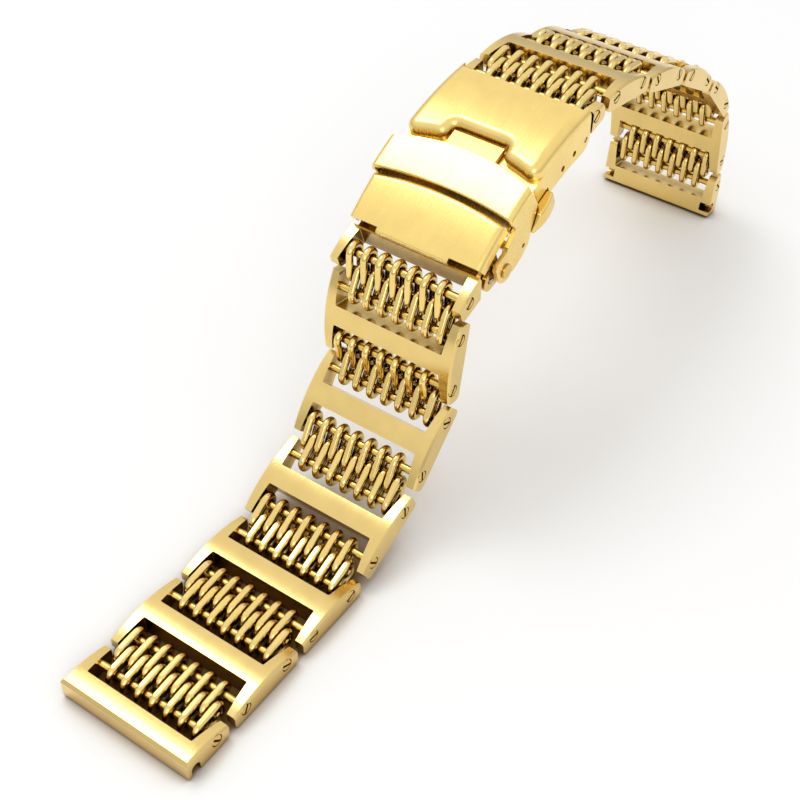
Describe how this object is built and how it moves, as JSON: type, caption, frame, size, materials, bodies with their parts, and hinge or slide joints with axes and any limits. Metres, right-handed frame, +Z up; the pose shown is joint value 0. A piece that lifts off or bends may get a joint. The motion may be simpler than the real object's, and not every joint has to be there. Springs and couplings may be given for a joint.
{
  "type": "watch bracelet",
  "caption": "Gold coloured mesh watch bracelet of H-shaped links joined by rows of wire rings, with a folding clasp, safety latch and push buttons.",
  "frame": {"origin": "centre of the bounding box, at its bottom, where the bracelet stands on a table", "axes": "+X along the strap from the near case end to the far one, +Y across it, +Z up"},
  "size_m": [0.1486, 0.025, 0.0507],
  "materials": {
    "gold_frame": "satin",
    "gold_wire": "polished",
    "gold_pins": "satin",
    "gold_blade": "satin"
  },
  "bodies": {
    "clasp_cover": {"clasp_cover": "gold_frame", "cover_pins": "gold_pins"},
    "safety_latch": {"safety_latch": "gold_frame"},
    "middle_blade": {"middle_blade": "gold_blade"},
    "end_blade": {"end_blade": "gold_frame", "blade_pin": "gold_pins"},
    "push_button_left": {"push_button_left": "gold_frame"},
    "push_button_right": {"push_button_right": "gold_frame"},
    "near_clasp_link": {"near_clasp_link": "gold_frame", "near_clasp_link_rods": "gold_pins"},
    "near_link_1": {"near_link_1": "gold_frame", "near_link_1_rods": "gold_pins"},
    "near_link_2": {"near_link_2": "gold_frame", "near_link_2_rods": "gold_pins"},
    "near_link_3": {"near_link_3": "gold_frame", "near_link_3_rods": "gold_pins"},
    "near_link_4": {"near_link_4": "gold_frame", "near_link_4_rods": "gold_pins"},
    "near_link_5": {"near_link_5": "gold_frame", "near_link_5_rods": "gold_pins"},
    "near_case_link": {"near_case_link": "gold_frame", "near_case_link_rods": "gold_pins"},
    "near_rings_1a": {"near_rings_1a": "gold_wire"},
    "near_rings_1b": {"near_rings_1b": "gold_wire"},
    "near_rings_2a": {"near_rings_2a": "gold_wire"},
    "near_rings_2b": {"near_rings_2b": "gold_wire"},
    "near_rings_3a": {"near_rings_3a": "gold_wire"},
    "near_rings_3b": {"near_rings_3b": "gold_wire"},
    "near_rings_4a": {"near_rings_4a": "gold_wire"},
    "near_rings_4b": {"near_rings_4b": "gold_wire"},
    "near_rings_5a": {"near_rings_5a": "gold_wire"},
    "near_rings_5b": {"near_rings_5b": "gold_wire"},
    "near_rings_6a": {"near_rings_6a": "gold_wire"},
    "near_rings_6b": {"near_rings_6b": "gold_wire"},
    "far_clasp_link": {"far_clasp_link": "gold_frame", "far_clasp_link_rods": "gold_pins"},
    "far_link_1": {"far_link_1": "gold_frame", "far_link_1_rods": "gold_pins"},
    "far_link_2": {"far_link_2": "gold_frame", "far_link_2_rods": "gold_pins"},
    "far_link_3": {"far_link_3": "gold_frame", "far_link_3_rods": "gold_pins"},
    "far_link_4": {"far_link_4": "gold_frame", "far_link_4_rods": "gold_pins"},
    "far_link_5": {"far_link_5": "gold_frame", "far_link_5_rods": "gold_pins"},
    "far_case_link": {"far_case_link": "gold_frame", "far_case_link_rods": "gold_pins"},
    "far_rings_1a": {"far_rings_1a": "gold_wire"},
    "far_rings_1b": {"far_rings_1b": "gold_wire"},
    "far_rings_2a": {"far_rings_2a": "gold_wire"},
    "far_rings_2b": {"far_rings_2b": "gold_wire"},
    "far_rings_3a": {"far_rings_3a": "gold_wire"},
    "far_rings_3b": {"far_rings_3b": "gold_wire"},
    "far_rings_4a": {"far_rings_4a": "gold_wire"},
    "far_rings_4b": {"far_rings_4b": "gold_wire"},
    "far_rings_5a": {"far_rings_5a": "gold_wire"},
    "far_rings_5b": {"far_rings_5b": "gold_wire"},
    "far_rings_6a": {"far_rings_6a": "gold_wire"},
    "far_rings_6b": {"far_rings_6b": "gold_wire"}
  },
  "joints": [
    {"name": "safety_latch_turn", "type": "hinge", "parent": "clasp_cover", "child": "safety_latch", "pos_m": [-0.00471, 0, 0.03671], "axis": [0, 1, 0], "range_deg": [-80, 0]},
    {"name": "clasp_fold", "type": "hinge", "parent": "clasp_cover", "child": "middle_blade", "pos_m": [-0.00284, 0, 0.04086], "axis": [0, 1, 0], "range_deg": [0, 150]},
    {"name": "end_blade_turn", "type": "hinge", "parent": "middle_blade", "child": "end_blade", "pos_m": [0.00736, 0, 0.04462], "axis": [0, 1, 0], "range_deg": [-150, 0]},
    {"name": "left_button_push", "type": "slide", "parent": "end_blade", "child": "push_button_left", "axis": [0, -1, 0], "range_m": [0, 0.001], "stiffness_N_per_m": 200, "springref_m": -0.001},
    {"name": "right_button_push", "type": "slide", "parent": "end_blade", "child": "push_button_right", "axis": [0, 1, 0], "range_m": [0, 0.001], "stiffness_N_per_m": 200, "springref_m": -0.001},
    {"name": "near_clasp_link_turn", "type": "hinge", "parent": "end_blade", "child": "near_clasp_link", "pos_m": [-0.00685, 0, 0.0357], "axis": [0, 1, 0], "range_deg": [-30, 3]},
    {"name": "far_clasp_link_turn", "type": "hinge", "parent": "clasp_cover", "child": "far_clasp_link", "pos_m": [0.01655, 0, 0.04602], "axis": [0, 1, 0], "range_deg": [-6, 25]},
    {"name": "near_rings_1a_turn", "type": "hinge", "parent": "near_clasp_link", "child": "near_rings_1a", "pos_m": [-0.01243, 0, 0.03579], "axis": [0, 1, 0], "range_deg": [-1, 71.2]},
    {"name": "near_rings_1b_turn", "type": "hinge", "parent": "near_rings_1a", "child": "near_rings_1b", "pos_m": [-0.01271, 0, 0.0329], "axis": [0, 1, 0], "range_deg": [-34.5, 1]},
    {"name": "near_link_1_turn", "type": "hinge", "parent": "near_rings_1b", "child": "near_link_1", "pos_m": [-0.01429, 0, 0.03047], "axis": [0, 1, 0], "range_deg": [-1, 26]},
    {"name": "near_rings_2a_turn", "type": "hinge", "parent": "near_link_1", "child": "near_rings_2a", "pos_m": [-0.01588, 0, 0.02227], "axis": [0, 1, 0], "range_deg": [-1, 22]},
    {"name": "near_rings_2b_turn", "type": "hinge", "parent": "near_rings_2a", "child": "near_rings_2b", "pos_m": [-0.01553, 0, 0.01939], "axis": [0, 1, 0], "range_deg": [-48, 1]},
    {"name": "near_link_2_turn", "type": "hinge", "parent": "near_rings_2b", "child": "near_link_2", "pos_m": [-0.01715, 0, 0.01698], "axis": [0, 1, 0], "range_deg": [-19, 1]},
    {"name": "near_rings_3a_turn", "type": "hinge", "parent": "near_link_2", "child": "near_rings_3a", "pos_m": [-0.02316, 0, 0.01118], "axis": [0, 1, 0], "range_deg": [-1, 13]},
    {"name": "near_rings_3b_turn", "type": "hinge", "parent": "near_rings_3a", "child": "near_rings_3b", "pos_m": [-0.02491, 0, 0.00886], "axis": [0, 1, 0], "range_deg": [-27.5, 1]},
    {"name": "near_link_3_turn", "type": "hinge", "parent": "near_rings_3b", "child": "near_link_3", "pos_m": [-0.02735, 0, 0.0073], "axis": [0, 1, 0], "range_deg": [-14, 1]},
    {"name": "near_rings_4a_turn", "type": "hinge", "parent": "near_link_3", "child": "near_rings_4a", "pos_m": [-0.0349, 0, 0.0037], "axis": [0, 1, 0], "range_deg": [-8.5, 2.5]},
    {"name": "near_rings_4b_turn", "type": "hinge", "parent": "near_rings_4a", "child": "near_rings_4b", "pos_m": [-0.03755, 0, 0.00252], "axis": [0, 1, 0], "range_deg": [-18, 1]},
    {"name": "near_link_4_turn", "type": "hinge", "parent": "near_rings_4b", "child": "near_link_4", "pos_m": [-0.04037, 0, 0.00187], "axis": [0, 1, 0], "range_deg": [-20, 1]},
    {"name": "near_rings_5a_turn", "type": "hinge", "parent": "near_link_4", "child": "near_rings_5a", "pos_m": [-0.04873, 0, 0.00187], "axis": [0, 1, 0], "range_deg": [-7, 4]},
    {"name": "near_rings_5b_turn", "type": "hinge", "parent": "near_rings_5a", "child": "near_rings_5b", "pos_m": [-0.05163, 0, 0.00187], "axis": [0, 1, 0], "range_deg": [-7, 4]},
    {"name": "near_link_5_turn", "type": "hinge", "parent": "near_rings_5b", "child": "near_link_5", "pos_m": [-0.05453, 0, 0.00187], "axis": [0, 1, 0], "range_deg": [-7, 4]},
    {"name": "near_rings_6a_turn", "type": "hinge", "parent": "near_link_5", "child": "near_rings_6a", "pos_m": [-0.06289, 0, 0.00187], "axis": [0, 1, 0], "range_deg": [-7, 4]},
    {"name": "near_rings_6b_turn", "type": "hinge", "parent": "near_rings_6a", "child": "near_rings_6b", "pos_m": [-0.06579, 0, 0.00187], "axis": [0, 1, 0], "range_deg": [-7, 4]},
    {"name": "near_case_link_turn", "type": "hinge", "parent": "near_rings_6b", "child": "near_case_link", "pos_m": [-0.06869, 0, 0.00187], "axis": [0, 1, 0], "range_deg": [-7, 4]},
    {"name": "far_rings_1a_turn", "type": "hinge", "parent": "far_clasp_link", "child": "far_rings_1a", "pos_m": [0.01923, 0, 0.04844], "axis": [0, 1, 0], "range_deg": [-15.6, 1]},
    {"name": "far_rings_1b_turn", "type": "hinge", "parent": "far_rings_1a", "child": "far_rings_1b", "pos_m": [0.02213, 0, 0.04846], "axis": [0, 1, 0], "range_deg": [-1, 12]},
    {"name": "far_link_1_turn", "type": "hinge", "parent": "far_rings_1b", "child": "far_link_1", "pos_m": [0.02502, 0, 0.04863], "axis": [0, 1, 0], "range_deg": [-17.7, 1]},
    {"name": "far_rings_2a_turn", "type": "hinge", "parent": "far_link_1", "child": "far_rings_2a", "pos_m": [0.03322, 0, 0.04699], "axis": [0, 1, 0], "range_deg": [-3.8, 8.2]},
    {"name": "far_rings_2b_turn", "type": "hinge", "parent": "far_rings_2a", "child": "far_rings_2b", "pos_m": [0.03606, 0, 0.04638], "axis": [0, 1, 0], "range_deg": [-23, 1]},
    {"name": "far_link_2_turn", "type": "hinge", "parent": "far_rings_2b", "child": "far_link_2", "pos_m": [0.03851, 0, 0.04484], "axis": [0, 1, 0], "range_deg": [-1, 20.6]},
    {"name": "far_rings_3a_turn", "type": "hinge", "parent": "far_link_2", "child": "far_rings_3a", "pos_m": [0.04634, 0, 0.04191], "axis": [0, 1, 0], "range_deg": [-8.6, 3.4]},
    {"name": "far_rings_3b_turn", "type": "hinge", "parent": "far_rings_3a", "child": "far_rings_3b", "pos_m": [0.04895, 0, 0.04063], "axis": [0, 1, 0], "range_deg": [-5.5, 6.5]},
    {"name": "far_link_3_turn", "type": "hinge", "parent": "far_rings_3b", "child": "far_link_3", "pos_m": [0.05149, 0, 0.03925], "axis": [0, 1, 0], "range_deg": [-6.2, 5.8]},
    {"name": "far_rings_4a_turn", "type": "hinge", "parent": "far_link_3", "child": "far_rings_4a", "pos_m": [0.0586, 0, 0.03484], "axis": [0, 1, 0], "range_deg": [-8.3, 3.7]},
    {"name": "far_rings_4b_turn", "type": "hinge", "parent": "far_rings_4a", "child": "far_rings_4b", "pos_m": [0.06091, 0, 0.03309], "axis": [0, 1, 0], "range_deg": [-7, 5]},
    {"name": "far_link_4_turn", "type": "hinge", "parent": "far_rings_4b", "child": "far_link_4", "pos_m": [0.0631, 0, 0.03118], "axis": [0, 1, 0], "range_deg": [-7.9, 4.1]},
    {"name": "far_rings_5a_turn", "type": "hinge", "parent": "far_link_4", "child": "far_rings_5a", "pos_m": [0.0689, 0, 0.02517], "axis": [0, 1, 0], "range_deg": [-22.1, 1]},
    {"name": "far_rings_5b_turn", "type": "hinge", "parent": "far_rings_5a", "child": "far_rings_5b", "pos_m": [0.07012, 0, 0.02254], "axis": [0, 1, 0], "range_deg": [-8, 4]},
    {"name": "far_link_5_turn", "type": "hinge", "parent": "far_rings_5b", "child": "far_link_5", "pos_m": [0.07111, 0, 0.01981], "axis": [0, 1, 0], "range_deg": [-14.9, 1]},
    {"name": "far_rings_6a_turn", "type": "hinge", "parent": "far_link_5", "child": "far_rings_6a", "pos_m": [0.07227, 0, 0.01153], "axis": [0, 1, 0], "range_deg": [-6.1, 5.9]},
    {"name": "far_rings_6b_turn", "type": "hinge", "parent": "far_rings_6a", "child": "far_rings_6b", "pos_m": [0.07252, 0, 0.00864], "axis": [0, 1, 0], "range_deg": [-6, 6]},
    {"name": "far_case_link_turn", "type": "hinge", "parent": "far_rings_6b", "child": "far_case_link", "pos_m": [0.07262, 0, 0.00575], "axis": [0, 1, 0], "range_deg": [-13.7, 1]}
  ],
  "couplings": [
    {"joint": "end_blade_turn", "follows": "clasp_fold", "ratio": -1}
  ]
}
